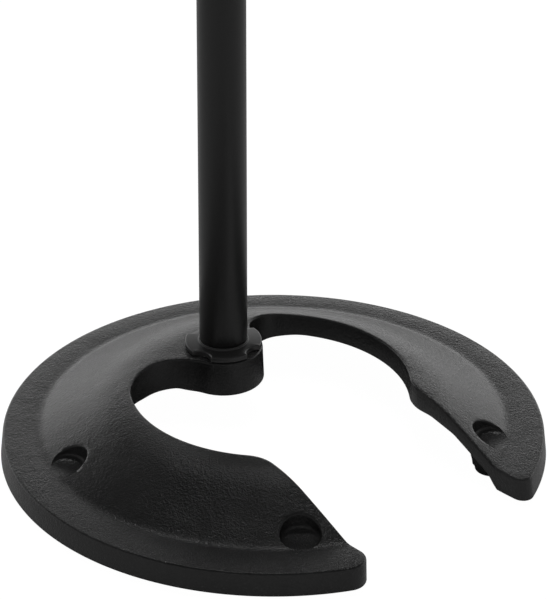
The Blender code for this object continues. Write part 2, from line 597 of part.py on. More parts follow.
def top_thread(zinc, steel, rubber):
    lip = MAST_BORE - GAP
    bottom = MAST_TOP + GAP
    stud_top = COLLAR_TOP + ADAPTER_LENGTH - STUD_DROP
    rounded = STUD_COLLAR_RADIUS - STUD_COLLAR_CHAMFER
    stud = [
        (0, bottom - STUD_SPIGOT_LENGTH), (lip, bottom - STUD_SPIGOT_LENGTH), (lip, bottom),
        (rounded, bottom), (STUD_COLLAR_RADIUS, bottom + STUD_COLLAR_CHAMFER),
        (STUD_COLLAR_RADIUS, COLLAR_TOP - STUD_COLLAR_CHAMFER), (rounded, COLLAR_TOP),
        (STUD_RADIUS, COLLAR_TOP), (STUD_RADIUS, stud_top - STUD_CHAMFER),
        (STUD_RADIUS - STUD_CHAMFER, stud_top), (0, stud_top),
    ]
    turned("top_stud", stud, zinc)
    adapter_bottom = COLLAR_TOP + GAP
    adapter_top = adapter_bottom + ADAPTER_LENGTH
    profile = tube_profile(STUD_RADIUS + GAP, ADAPTER_RADIUS, adapter_bottom, adapter_top, ADAPTER_CHAMFER)
    adapter = turned("thread_adapter", profile, steel)
    half = ADAPTER_SLOT / 2
    reach = ADAPTER_RADIUS + OVERCUT
    slot = [(-reach, -half), (reach, -half), (reach, half), (-reach, half)]
    floor = adapter_top - ADAPTER_SLOT_DEPTH
    combine(adapter, prism("adapter_slot", slot, floor, adapter_top + OVERCUT, None, HUB))
    hole = ADAPTER_RADIUS + GAP
    washer_top = adapter_bottom + LOCK_WASHER_THICKNESS
    washer = tube_profile(hole, STUD_COLLAR_RADIUS, adapter_bottom, washer_top, SMALL_CHAMFER)
    turned("lock_washer", washer, rubber)
    return washer_top + GAP, hole


def lock_ring(zinc, bottom, hole):
    """A knurled nut: straight flutes round its edge."""
    outline = []
    half = math.pi / LOCK_RING_FLUTES
    land = half * LOCK_RING_LAND
    for i in range(LOCK_RING_FLUTES):
        middle = math.tau * i / LOCK_RING_FLUTES
        outline.append(on_angle((0, 0), LOCK_RING_RADIUS, middle - land))
        outline.append(on_angle((0, 0), LOCK_RING_RADIUS, middle + land))
        outline.append(on_angle((0, 0), LOCK_RING_RADIUS - LOCK_RING_FLUTE_DEPTH, middle + half))
    top = bottom + LOCK_RING_HEIGHT
    ring = prism("lock_ring", outline, bottom, top, zinc, HUB)
    combine(ring, cylinder("ring_hole", hole, bottom - OVERCUT, top + OVERCUT))


def main():
    for obj in list(bpy.data.objects):
        bpy.data.objects.remove(obj)
    iron = finish("coated_iron", (0.022, 0.022, 0.023), 0.48, 0.0)
    coated = finish("coated_steel", (0.016, 0.016, 0.017), 0.34, 0.0)
    zinc = finish("black_zinc", (0.030, 0.030, 0.032), 0.33, 0.0)
    steel = finish("plated_steel", (0.55, 0.55, 0.57), 0.30, 1.0)
    brass = finish("brass", (0.60, 0.44, 0.20), 0.32, 1.0)
    nylon = finish("nylon", (0.62, 0.61, 0.57), 0.50, 0.0)
    plastic = finish("black_plastic", (0.020, 0.020, 0.021), 0.42, 0.0)
    rubber = finish("rubber", (0.020, 0.020, 0.020), 0.75, 0.0)

    base_casting(iron)
    feet(rubber)
    fixing_bolt(steel)
    washers(steel)
    base_flange(zinc)
    outer_tube(coated, steel)
    clutch_body(zinc)
    clutch_collet(nylon)
    clutch_grip(plastic, brass, rubber)
    mast(coated, nylon)
    ring_bottom, ring_hole = top_thread(zinc, steel, rubber)
    lock_ring(zinc, ring_bottom, ring_hole)


main()
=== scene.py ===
import math

import bpy
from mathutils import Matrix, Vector
from mathutils.kdtree import KDTree


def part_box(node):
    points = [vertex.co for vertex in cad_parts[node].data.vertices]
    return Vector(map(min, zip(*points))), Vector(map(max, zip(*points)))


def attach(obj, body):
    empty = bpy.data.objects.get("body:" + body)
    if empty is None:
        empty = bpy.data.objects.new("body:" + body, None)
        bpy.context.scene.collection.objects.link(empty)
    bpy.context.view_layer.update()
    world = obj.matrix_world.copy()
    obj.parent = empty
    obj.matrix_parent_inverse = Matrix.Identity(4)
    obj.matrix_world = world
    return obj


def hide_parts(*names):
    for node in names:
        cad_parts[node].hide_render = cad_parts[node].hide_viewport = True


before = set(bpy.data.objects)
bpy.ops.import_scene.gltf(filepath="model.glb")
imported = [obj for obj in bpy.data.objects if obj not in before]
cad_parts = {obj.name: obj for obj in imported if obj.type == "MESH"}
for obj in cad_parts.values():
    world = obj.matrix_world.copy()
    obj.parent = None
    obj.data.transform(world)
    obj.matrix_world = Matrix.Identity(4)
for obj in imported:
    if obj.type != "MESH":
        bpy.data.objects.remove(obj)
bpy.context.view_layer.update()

castingLow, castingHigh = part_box("base_casting")
tubeLow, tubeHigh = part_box("outer_tube")
hub = Vector(((tubeLow.x + tubeHigh.x) / 2, (tubeLow.y + tubeHigh.y) / 2))


# camera and studio

camera = {"place": (0, -1.7864, 1.0921), "tilt": math.radians(60.51), "lens": 270.73}
studio = {
    "floorSize": 60, "whiteOut": 0.9, "floorGlow": 1.1,
    "horizon": 2.2, "horizonTop": 0.62, "overhead": 0.05, "front": 0.25, "frontTurn": (-0.3, 1.1),
    "fill": 42, "fillSize": 2.4, "fillPlace": (0, 0.5, 3.2),
    "key": 12, "keySize": 0.4, "keyPlace": (-0.1, 1.0, 2.8),
}


def aimCamera():
    data = bpy.data.cameras.new("camera")
    data.lens = camera["lens"]
    data.clip_end = 200
    stand = bpy.data.objects.new("camera", data)
    stand.location = camera["place"]
    stand.rotation_euler = (camera["tilt"], 0, 0)
    bpy.context.scene.collection.objects.link(stand)
    bpy.context.scene.camera = stand
    bpy.context.scene.view_settings.view_transform = "Standard"


def areaLight(name, size, power, place, glossy=True):
    # a square light that faces the stand's foot
    data = bpy.data.lights.new(name, "AREA")
    data.size = size
    data.energy = power
    lamp = bpy.data.objects.new(name, data)
    lamp.location = place
    lamp.rotation_euler = (-Vector(place)).to_track_quat("-Z", "Y").to_euler()
    lamp.visible_glossy = glossy  # a light that only fills leaves no highlight
    bpy.context.scene.collection.objects.link(lamp)


# finishes

class Signal:
    # an output socket that can be added, multiplied and taken away

    def __init__(self, finish, socket):
        self.finish = finish
        self.socket = socket

    def math(self, operation, first, second):
        return self.finish.node("ShaderNodeMath", {"operation": operation}, {0: first, 1: second})

    def __add__(self, other):
        return self.math("ADD", self, other)

    def __radd__(self, other):
        return self.math("ADD", other, self)

    def __sub__(self, other):
        return self.math("SUBTRACT", self, other)

    def __rsub__(self, other):
        return self.math("SUBTRACT", other, self)

    def __mul__(self, other):
        return self.math("MULTIPLY", self, other)

    def __rmul__(self, other):
        return self.math("MULTIPLY", other, self)


class Finish:
    # one material and the nodes that vary it

    def __init__(self, name, roughness, metallic=0.0, specular=0.5):
        self.material = bpy.data.materials.new(name)
        self.material.use_nodes = True
        self.nodes = self.material.node_tree.nodes
        self.shader = self.nodes["Principled BSDF"]
        self.shader.inputs["Roughness"].default_value = roughness
        self.shader.inputs["Metallic"].default_value = metallic
        self.shader.inputs["Specular IOR Level"].default_value = specular
        self.place = self.node("ShaderNodeTexCoord", {}, {}, "Object")

    def feed(self, socket, value):
        if isinstance(value, Signal):
            self.material.node_tree.links.new(value.socket, socket)
        else:
            socket.default_value = value

    def node(self, kind, settings, sockets, output=0):
        made = self.nodes.new(kind)
        for setting, value in settings.items():
            setattr(made, setting, value)
        for socket, value in sockets.items():
            self.feed(made.inputs[socket], value)
        return Signal(self, made.outputs[output])

    def noise(self, scale, detail=2.0, roughness=0.5, stretch=None):
        place = self.place
        if stretch:
            place = self.node("ShaderNodeMapping", {}, {"Vector": place, "Scale": stretch})
        sockets = {"Vector": place, "Scale": scale, "Detail": detail, "Roughness": roughness}
        return self.node("ShaderNodeTexNoise", {}, sockets)

    def step(self, value, low, high):
        sockets = {"Value": value, "From Min": low, "From Max": high}
        return self.node("ShaderNodeMapRange", {"interpolation_type": "SMOOTHSTEP"}, sockets)

    def blendColour(self, share, first, second):
        sockets = {0: share, 6: first, 7: second}
        return self.node("ShaderNodeMix", {"data_type": "RGBA"}, sockets, 2)

    def bump(self, height, depth):
        sockets = {"Height": height, "Distance": depth, "Strength": 1.0}
        return self.node("ShaderNodeBump", {}, sockets)

    def edgeWearAndHighlight(self, low, high):
        # bright on convex edges: partly wear where the coat is thin, partly a painted edge highlight
        point = self.node("ShaderNodeNewGeometry", {}, {}, "Pointiness")
        return self.step(point, low, high)

    def done(self, colour, roughness, normal):
        self.feed(self.shader.inputs["Base Color"], colour)
        self.feed(self.shader.inputs["Roughness"], roughness)
        self.feed(self.shader.inputs["Normal"], normal)
        return self.material


def shade(value, warmth=0.0):
    return (value * (1 + warmth), value, value * (1 - warmth), 1)


def coatedIron():
    coat = Finish("coatedIron", 0.5, specular=0.42)
    grain = coat.noise(1500, 2.0, 0.6)  # powder grain
    peel = coat.noise(800, 1.5, 0.5)  # orange peel of the baked powder
    cast = coat.noise(75, 2.0, 0.5)  # the casting's own unevenness under the coat
    glossSpecksAndGlint = coat.step(coat.noise(1700, 1.0, 0.4), 0.66, 0.72)  # glossy specks of melted powder; their lighter colour below is a painted glint
    patch = coat.noise(28, 3.0, 0.6)
    edge = coat.edgeWearAndHighlight(0.515, 0.56)
    tone = coat.blendColour(coat.step(patch, 0.3, 0.7), shade(0.007), shade(0.012))
    # painted glint: the glossy specks get a lighter base colour so that they read as sparkles
    tone = coat.blendColour(glossSpecksAndGlint * 0.5, tone, shade(0.09))
    # painted edge highlight mixed with wear: convex edges lightened towards a mid grey
    tone = coat.blendColour(edge * 0.35, tone, shade(0.045))
    rough = 0.27 + patch * 0.04 + grain * 0.06 - glossSpecksAndGlint * 0.19
    height = grain * 0.5 + peel * 0.5 + cast * 0.8
    return coat.done(tone, rough, coat.bump(height, 0.00034))


def coatedSteel():
    coat = Finish("coatedSteel", 0.33, specular=0.45)
    peel = coat.noise(900, 1.5, 0.5)
    drawn = coat.noise(1, 3.0, 0.6, (700, 700, 9))  # faint lengthwise drawing marks
    rub = coat.noise(1, 2.0, 0.5, (60, 60, 22))
    tone = coat.blendColour(rub, shade(0.0075), shade(0.0125))
    rough = 0.30 + drawn * 0.07 + rub * 0.06
    height = peel * 0.5 + drawn * 0.25
    return coat.done(tone, rough, coat.bump(height, 0.00003))


def blackZinc(name, shine):
    plate = Finish(name, shine, 0.0, 0.55)
    grain = plate.noise(2200, 2.0, 0.5)
    cloud = plate.noise(160, 3.0, 0.6)
    edge = plate.edgeWearAndHighlight(0.52, 0.60)
    tone = plate.blendColour(cloud, shade(0.014), shade(0.026))
    # painted edge highlight mixed with wear: convex edges lightened to a warm grey
    tone = plate.blendColour(edge * 0.5, tone, shade(0.12, 0.03))
    rough = shine + cloud * 0.10 + grain * 0.05
    return plate.done(tone, rough, plate.bump(grain * 0.6 + cloud * 0.5, 0.00003))


def metal(name, dark, light, roughness, stretch):
    bare = Finish(name, roughness, 1.0)
    brushed = bare.noise(1, 4.0, 0.6, stretch)
    cloud = bare.noise(220, 3.0, 0.6)
    tone = bare.blendColour(cloud, dark, light)
    rough = roughness + brushed * 0.14 + cloud * 0.08
    return bare.done(tone, rough, bare.bump(brushed, 0.000015))


def moulded(name, dark, light, roughness, grainScale, depth):
    piece = Finish(name, roughness, 0.0, 0.4)
    grain = piece.noise(grainScale, 2.0, 0.6)
    cloud = piece.noise(90, 3.0, 0.6)
    tone = piece.blendColour(cloud, dark, light)
    rough = roughness + cloud * 0.10 + grain * 0.06
    return piece.done(tone, rough, piece.bump(grain + cloud * 0.4, depth))


# shop tools

gap = 0.0003  # between pieces that touch
through = 0.01  # how far a cutter reaches past the piece
clear = 2e-5  # keeps a cutter's ring off the piece's own face


def deselectAll():
    if bpy.context.mode != "OBJECT":
        bpy.ops.object.mode_set(mode="OBJECT")
    bpy.ops.object.select_all(action="DESELECT")


def activate(piece):
    deselectAll()
    piece.select_set(True)
    bpy.context.view_layer.objects.active = piece


def pick(piece, wanted):
    # leaves edit mode open with the wanted vertices selected
    activate(piece)
    bpy.ops.object.mode_set(mode="EDIT")
    bpy.ops.mesh.select_mode(type="VERT")
    bpy.ops.mesh.select_all(action="DESELECT")
    bpy.ops.object.mode_set(mode="OBJECT")
    for vertex in piece.data.vertices:
        vertex.select = wanted(vertex.co)
    bpy.ops.object.mode_set(mode="EDIT")


def tidyMesh(piece, merge=0.00001):
    activate(piece)
    bpy.ops.object.mode_set(mode="EDIT")
    bpy.ops.mesh.select_mode(type="VERT")
    bpy.ops.mesh.select_all(action="SELECT")
    bpy.ops.mesh.remove_doubles(threshold=merge)
    bpy.ops.mesh.delete_loose(use_verts=True, use_edges=True, use_faces=False)
    bpy.ops.mesh.select_all(action="SELECT")
    bpy.ops.mesh.normals_make_consistent(inside=False)
    bpy.ops.object.mode_set(mode="OBJECT")


def loop(name, points):
    # a closed line of points, started from a circle
    deselectAll()
    bpy.ops.mesh.primitive_circle_add(vertices=len(points), radius=0.01, fill_type="NOTHING")
    line = bpy.context.object
    line.name = name
    line.data.name = name
    for vertex, point in zip(line.data.vertices, points):
        vertex.co = point
    return line


def turn(name, profile, centre=hub, steps=96):
    # spins a closed outline of (radius, height, corner rounding) about the upright line at centre
    corners = [Vector((centre[0] + radius, centre[1], height)) for radius, height, _ in profile]
    piece = loop(name, corners)
    for size in sorted({rounding for _, _, rounding in profile if rounding}):
        wanted = [corner for corner, row in zip(corners, profile) if row[2] == size]
        pick(piece, lambda co: any((co - corner).length < 1e-6 for corner in wanted))
        bpy.ops.mesh.bevel(offset=size, segments=4, affect="VERTICES", clamp_overlap=True)
    activate(piece)
    bpy.ops.object.mode_set(mode="EDIT")
    bpy.ops.mesh.select_all(action="SELECT")
    bpy.ops.mesh.spin(steps=steps, angle=math.tau, center=(centre[0], centre[1], 0), axis=(0, 0, 1))
    tidyMesh(piece)
    return piece


def carve(piece, cutter, operation="DIFFERENCE"):
    cut = piece.modifiers.new("cut", "BOOLEAN")
    cut.object = cutter
    cut.operation = operation
    cut.solver = "EXACT"
    activate(piece)
    bpy.ops.object.modifier_apply(modifier=cut.name)
    bpy.data.objects.remove(cutter)


def smoothed(piece, degrees=35):
    activate(piece)
    bpy.ops.object.shade_smooth_by_angle(angle=math.radians(degrees))


def finished(piece, material, slot, body, *nodes, smoothAngle=35):
    smoothed(piece, smoothAngle)
    piece.data.materials.clear()
    piece.data.materials.append(material)
    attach(piece, body)
    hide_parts(*nodes)
    print("made", piece.name, len(piece.data.polygons), "faces")


def onCircle(centre, radius, angle):
    return Vector((centre[0] + radius * math.cos(angle), centre[1] + radius * math.sin(angle)))


def easeIn(value, low, high):
    share = min(max((value - low) / (high - low), 0), 1)
    return share * share * (3 - 2 * share)


def leadTo(level, target, distance, near, far):
    # the target up to near, the level from far on, and a smooth way between them
    return level + (target - level) * (1 - easeIn(distance, near, far))


# base casting

casting = {
    "radius": 0.125, "draft": 0.0012, "rimThickness": 0.0115, "rimWidth": 0.0169,
    "domeCentre": Vector((0, 0.0031)), "slope": math.radians(29), "crownArc": 0.0488, "footArc": 0.008,
    "crownThickness": 0.0119, "slopeThickness": 0.0078, "skirtWidth": 0.016,
    "edge": 0.0011, "plateHalf": 0.004, "spokes": 320,
    "innerRing": 0.024, "coarseRing": 0.0024, "fineRing": 0.00115, "fineFrom": 0.088, "lastRing": 0.1135,
}
opening = {
    "centre": Vector((-0.0016, 0.0065)), "radius": 0.0647, "heading": math.radians(-47.2),
    "left": -0.0433, "right": 0.0493, "cornerRadius": 0.020, "leftTip": 0.009, "rightTip": 0.005,
    "spacing": 0.0014,
}
boss = {
    "radius": 0.0184, "draft": 0.0006, "height": 0.0172, "shoulder": 0.0008, "blend": 0.0075,
    "draftRise": 0.010, "draftFade": (0.020, 0.028),
    "padRadius": 0.033, "padBlend": 0.024, "padThickness": 0.0162, "padShift": Vector((-0.010, 0)),
    "leftFillet": 0.0209, "leftBlend": 0.031, "leftAngle": math.radians(-118.5), "rightFillet": 0.0119,
    "boltHole": 0.0053, "counterbore": 0.0112, "counterboreDepth": 0.0078,
}
foot = {
    "angles": [math.radians(a) for a in (-157.1, -83.2, -9.0, 103.9)], "circle": 0.102,
    "radius": 0.008, "stem": 0.0034, "stemLength": 0.006, "seatTop": 0.0090, "seatFoot": 0.0114,
    "dimple": 0.0093, "hollow": 0.0026, "lip": 0.0012, "lipSteps": 4, "lipStep": math.radians(12.5),
}
rimBottom = castingLow.z
rimTop = rimBottom + casting["rimThickness"]
crownTop = castingHigh.z
bossBottom = crownTop - boss["height"]


def domeHeight(spot):
    # the top of the casting over a spot: crown, arc, cone, hollow arc and flat rim
    height = crownTop - rimTop
    slope, crownArc, footArc = casting["slope"], casting["crownArc"], casting["footArc"]
    domeFoot = casting["radius"] - casting["rimWidth"]
    crownEnd = domeFoot - (height - crownArc * (1 - math.cos(slope))) / math.tan(slope)
    crownStart = crownEnd - crownArc * math.sin(slope)
    level = domeFoot + footArc * math.tan(slope / 2)
    hollowStart = level - footArc * math.sin(slope)
    out = (spot - casting["domeCentre"]).length
    if out < crownStart:
        return crownTop
    if out < crownEnd:
        return crownTop - crownArc + math.sqrt(crownArc ** 2 - (out - crownStart) ** 2)
    if out < hollowStart:
        return rimTop + (domeFoot - out) * math.tan(slope)
    if out < level:
        return rimTop + footArc - math.sqrt(footArc ** 2 - (level - out) ** 2)
    return rimTop


def hollowHeight(spot):
    # the underside: a hollow under the dome, thicker round the hub, with a seat over each foot
    out = (spot - casting["domeCentre"]).length
    domeFoot = casting["radius"] - casting["rimWidth"]
    ceiling = crownTop - casting["crownThickness"]
    low = rimTop - casting["slopeThickness"]
    ceilingEdge = domeFoot - (ceiling - low) / math.tan(casting["slope"])
    steps = [
        (ceilingEdge - 0.006, ceiling), (ceilingEdge + 0.006, ceiling - 0.0032),
        (domeFoot - 0.004, low + 0.0022), (casting["radius"] - casting["skirtWidth"], rimBottom),
    ]
    height = ceiling if out < steps[0][0] else rimBottom
    for (start, top), (end, bottom) in zip(steps, steps[1:]):
        if start <= out < end:
            height = top + (bottom - top) * (out - start) / (end - start)
    fromPad = (spot - hub - boss["padShift"]).length
    padBottom = crownTop - boss["padThickness"]
    if height > padBottom:
        height = leadTo(height, padBottom, fromPad, boss["padRadius"], boss["padRadius"] + boss["padBlend"])
    fromHub = (spot - hub).length
    if height > bossBottom:
        near, far = boss["radius"] + boss["shoulder"], boss["radius"] + boss["blend"]
        height = leadTo(height, bossBottom, fromHub, near, far)
    for angle in foot["angles"]:
        fromFoot = (spot - onCircle(casting["domeCentre"], foot["circle"], angle)).length
        height = leadTo(height, rimBottom, fromFoot, foot["seatTop"], foot["seatFoot"])
    return height


def circlesMeet(first, firstRadius, second, secondRadius, side):
    way = second - first
    span = way.length
    along = (firstRadius ** 2 - secondRadius ** 2 + span ** 2) / (2 * span)
    across = math.sqrt(max(firstRadius ** 2 - along ** 2, 0))
    way.normalize()
    return first + way * along + Vector((-way.y, way.x)) * across * side


def lineMeets(centre, radius, point, way):
    start = point - centre
    along = -start.dot(way)
    return point + way * (along + math.sqrt(max(along ** 2 - start.dot(start) + radius ** 2, 0)))


def arcPoints(centre, start, end, side):
    # (point, direction into the iron) round an arc; side +1 where the arc's centre is in the iron
    first = math.atan2(start.y - centre.y, start.x - centre.x)
    sweep = (math.atan2(end.y - centre.y, end.x - centre.x) - first) * side % math.tau
    radius = (start - centre).length
    count = max(5, math.ceil(sweep * radius / opening["spacing"]))
    points = [onCircle(centre, radius, first + side * sweep * i / count) for i in range(count + 1)]
    return [(point, (centre - point).normalized() * side) for point in points]


def openingLine():
    # the window, its mouth and the bulge round the hub, from the left tip to the right one
    out = Vector((math.cos(opening["heading"]), math.sin(opening["heading"])))
    across = Vector((-out.y, out.x))
    window, windowRadius = opening["centre"], opening["radius"]
    corner = opening["cornerRadius"]

    def tip(offset, side, radius):
        middle = Vector((0, 0))
        centre = lineMeets(middle, casting["radius"] - radius, across * (offset + side * radius), out)
        return centre, centre - across * side * radius, centre * (casting["radius"] / centre.length)

    def touch(centre, other, radius):
        return centre + (other - centre).normalized() * radius

    def mouthCorner(offset, side):
        centre = lineMeets(window, windowRadius + corner, across * (offset + side * corner), out)
        return centre, centre - across * side * corner, touch(window, centre, windowRadius)

    leftTip, leftLine, leftRim = tip(opening["left"], -1, opening["leftTip"])
    rightTip, rightLine, rightRim = tip(opening["right"], 1, opening["rightTip"])
    leftCorner, leftStart, leftWindow = mouthCorner(opening["left"], -1)
    rightCorner, rightStart, rightWindow = mouthCorner(opening["right"], 1)
    leftFillet = onCircle(hub, boss["radius"] + boss["leftFillet"], boss["leftAngle"])
    blendRadius = boss["leftBlend"]
    filletGap, windowGap = blendRadius - boss["leftFillet"], windowRadius - blendRadius
    blend = circlesMeet(leftFillet, filletGap, window, windowGap, -1)
    rightRadius = boss["rightFillet"]
    rightFillet = circlesMeet(hub, boss["radius"] + rightRadius, window, windowRadius - rightRadius, 1)
    windowToBlend = touch(window, blend, windowRadius)
    blendToFillet = touch(blend, leftFillet, blendRadius)
    filletToBoss = touch(leftFillet, hub, boss["leftFillet"])
    bossToFillet = touch(hub, rightFillet, boss["radius"])
    filletToWindow = touch(window, rightFillet, windowRadius)
    arcs = [
        (leftTip, leftRim, leftLine, 1), (leftCorner, leftStart, leftWindow, 1),
        (window, leftWindow, windowToBlend, -1), (blend, windowToBlend, blendToFillet, -1),
        (leftFillet, blendToFillet, filletToBoss, -1), (hub, filletToBoss, bossToFillet, 1),
        (rightFillet, bossToFillet, filletToWindow, -1), (window, filletToWindow, rightWindow, -1),
        (rightCorner, rightWindow, rightStart, 1), (rightTip, rightLine, rightRim, 1),
    ]
    line = []
    for row in arcs:
        for point, inward in arcPoints(*row):
            if line:
                last, lastInward = line[-1]
                pieces = int((point - last).length / (opening["spacing"] * 1.5))
                for i in range(1, pieces):  # the mouth's straight sides
                    line.append((last.lerp(point, i / pieces), lastInward))
            if not line or (point - line[-1][0]).length > 1e-5:
                line.append((point, inward))
    still = Vector((0, 0))
    line += [(rightRim * 1.3, still), (out * casting["radius"] * 1.3, still), (leftRim * 1.3, still)]
    return line


def openingCutter():
    # stands in the opening and flares at both faces, so that what it leaves has rounded edges
    line = openingLine()
    edge, half = casting["edge"], casting["plateHalf"]
    levels = [(edge, -2 * half)]
    for i in range(5):
        lean = math.radians(90 - 22.5 * i)
        past = clear if i == 0 else 0
        levels.append((edge - edge * math.cos(lean), -half + edge - edge * math.sin(lean) - past))
    levels += [(offset, -height) for offset, height in reversed(levels)]
    outlines = [[point + inward * offset for point, inward in line] for offset, _ in levels]
    cutter = loop("openingCutter", [(p.x, p.y, levels[0][1]) for p in outlines[0]])
    activate(cutter)
    bpy.ops.object.mode_set(mode="EDIT")
    bpy.ops.mesh.select_all(action="SELECT")
    bpy.ops.mesh.edge_face_add()
    for (_, lower), before, (_, upper), after in zip(levels, outlines, levels[1:], outlines[1:]):
        bpy.ops.mesh.extrude_region_move(TRANSFORM_OT_translate={"value": (0, 0, upper - lower)})
        bpy.ops.object.mode_set(mode="OBJECT")
        tree = KDTree(len(before))
        for i, point in enumerate(before):
            tree.insert((point.x, point.y, 0), i)
        tree.balance()
        for vertex in cutter.data.vertices:
            if vertex.select:
                at = after[tree.find((vertex.co.x, vertex.co.y, 0))[1]]
                vertex.co = (at.x, at.y, upper)
        bpy.ops.object.mode_set(mode="EDIT")
    tidyMesh(cutter, 1e-7)
    return cutter


def castPlate():
    # a flat ring with rounded rims, spoked closely enough to be lifted into the dome
    half, edge, radius = casting["plateHalf"], casting["edge"], casting["radius"]
    rings, out = [], casting["innerRing"]
    while out < casting["lastRing"]:
        rings.append(out)
        out += casting["coarseRing"] if out < casting["fineFrom"] else casting["fineRing"]
    under = [(ring, -half, 0) for ring in rings]
    over = [(ring, half, 0) for ring in reversed(rings)]
    rim = [(radius, -half, edge), (radius, half, edge)]
    plate = turn("baseCasting", under + rim + over, (0, 0), casting["spokes"])
    for vertex in plate.data.vertices:
        if vertex.co.xy.length < casting["lastRing"] + 1e-5:
            vertex.co.xy += casting["domeCentre"]
    return plate


def liftPlate(plate):
    half, radius = casting["plateHalf"], casting["radius"]
    for vertex in plate.data.vertices:
        spot, level = vertex.co.xy, vertex.co.z
        if level > 0:
            height = domeHeight(spot) - half + level
        else:
            height = hollowHeight(spot) + half + level
            fromHub = spot - hub
            push = easeIn(fromHub.length, boss["draftRise"], boss["radius"])
            push *= 1 - easeIn(fromHub.length, *boss["draftFade"])
            share = min((crownTop - height) / boss["height"], 1)
            spot = spot + fromHub.normalized() * boss["draft"] * push * share
        flare = easeIn(spot.length, radius - 0.014, radius) * casting["draft"]
        spot = spot + spot.normalized() * flare * max(rimTop - height, 0) / casting["rimThickness"]
        vertex.co = (spot.x, spot.y, height)


def dimpleCutter(at):
    # a round hollow whose wall leans out in an arc where it comes through the slope
    floor, size, above = rimTop + 0.00005, foot["dimple"], crownTop + through
    marks = [above - 0.006 + 0.0005 * k for k in range(foot["lipSteps"] + 2)]
    profile = [(0, floor, 0), (size, floor, foot["hollow"])] + [(size, mark, 0) for mark in marks]
    cutter = turn("dimple", profile + [(size + 0.003, above, 0), (0, above, 0)], at)
    for vertex in cutter.data.vertices:
        rows = [k for k, mark in enumerate(marks) if abs(vertex.co.z - mark) < 1e-5]
        if not rows:
            continue
        way = (vertex.co.xy - at).normalized()
        rise = domeHeight(at + way * size) - floor
        lip = min(foot["lip"], max(rise * 0.5, 0.00002))
        lean = foot["lipStep"] * min(rows[0], foot["lipSteps"])
        # the last row carries the leaning wall on past the surface
        past = foot["lip"] * 1.2 if rows[0] > foot["lipSteps"] else 0
        out = size + lip * (1 - math.cos(lean)) + past * math.sin(lean)
        vertex.co.z = floor + max(rise - lip * 0.7, 0.00004) + lip * math.sin(lean) + past * math.cos(lean)
        vertex.co.xy = at + way * out
    return cutter


def baseCasting(material):
    plate = castPlate()
    carve(plate, openingCutter())
    tidyMesh(plate, 0.00002)
    activate(plate)
    bpy.ops.object.mode_set(mode="EDIT")
    bpy.ops.mesh.select_all(action="SELECT")
    bpy.ops.mesh.quads_convert_to_tris()
    bpy.ops.object.mode_set(mode="OBJECT")
    liftPlate(plate)
    size, top = foot["stem"] + gap, rimBottom + foot["stemLength"] + gap
    stemHole = [(0, -through, 0), (size, -through, 0), (size, top, 0), (0, top, 0)]
    for angle in foot["angles"]:
        at = onCircle(casting["domeCentre"], foot["circle"], angle)
        carve(plate, dimpleCutter(at))
        carve(plate, turn("stemHole", stemHole, at, 24))
    low, high, step = bossBottom - through, crownTop + through, bossBottom + boss["counterboreDepth"]
    bore = [
        (0, low, 0), (boss["counterbore"], low, 0), (boss["counterbore"], step, 0),
        (boss["boltHole"], step, 0), (boss["boltHole"], high, 0), (0, high, 0),
    ]
    carve(plate, turn("boltBore", bore, hub, 64))
    tidyMesh(plate, 0.00002)
    finished(plate, material, "coated_iron", "stand", "base_casting", smoothAngle=42)


# feet, bolt and flange

def rubberFeet(material):
    for i, angle in enumerate(foot["angles"]):
        node = f"foot_{i + 1}"
        low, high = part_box(node)
        at = (low + high) / 2
        seat = rimBottom - gap
        groove = low.z + 0.0005
        profile = [
            (0, groove, 0), (0.0028, groove, 0.0002), (0.0034, low.z, 0.0002),
            (0.0056, low.z, 0.0002), (0.0062, groove, 0.0002), (0.0068, low.z, 0.0002),
            (foot["radius"], low.z, 0.0009), (foot["radius"], seat, 0.0003), (foot["stem"], seat, 0),
            (foot["stem"], high.z, 0.0006), (0, high.z, 0),
        ]
        piece = turn(f"rubberFoot{i + 1}", profile, at, 72)
        finished(piece, material, "rubber", "stand", node)


bolt = {"acrossFlats": 0.016, "head": 0.0055, "chamfer": 0.0074, "chamferDrop": 0.0012, "shank": 0.005}


def boltHead(material):
    low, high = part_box("base_bolt")
    corner = bolt["acrossFlats"] / math.sqrt(3)
    headTop = low.z + bolt["head"]
    deselectAll()
    bpy.ops.mesh.primitive_cylinder_add(
        vertices=6, radius=corner, depth=headTop - low.z, location=(hub.x, hub.y, (low.z + headTop) / 2),
        rotation=(0, 0, math.radians(90)))
    head = bpy.context.object
    head.name = head.data.name = "baseBolt"
    bpy.ops.object.transform_apply(location=True, rotation=True, scale=True)
    outside, above = corner + 0.0002, headTop + 0.001
    dome = [
        (0, low.z, 0), (bolt["chamfer"], low.z, 0.0003), (outside, low.z + bolt["chamferDrop"], 0),
        (outside, above, 0), (0, above, 0),
    ]
    carve(head, turn("headChamfer", dome, hub, 64), "INTERSECT")
    rooted, size = headTop - 0.001, bolt["shank"]
    shank = [(0, rooted, 0), (size, rooted, 0), (size, high.z, 0.001), (0, high.z, 0)]
    carve(head, turn("shank", shank, hub, 48), "UNION")
    tidyMesh(head)
    finished(head, material, "plated_steel", "stand", "base_bolt", smoothAngle=25)


flange = {
    "radius": 0.0180, "thickness": 0.0026, "edge": 0.0007, "collar": 0.0116, "bore": 0.0053,
    "notch": 0.0065, "notchDepth": 0.0033, "firstNotch": math.radians(55), "notches": 4,
}


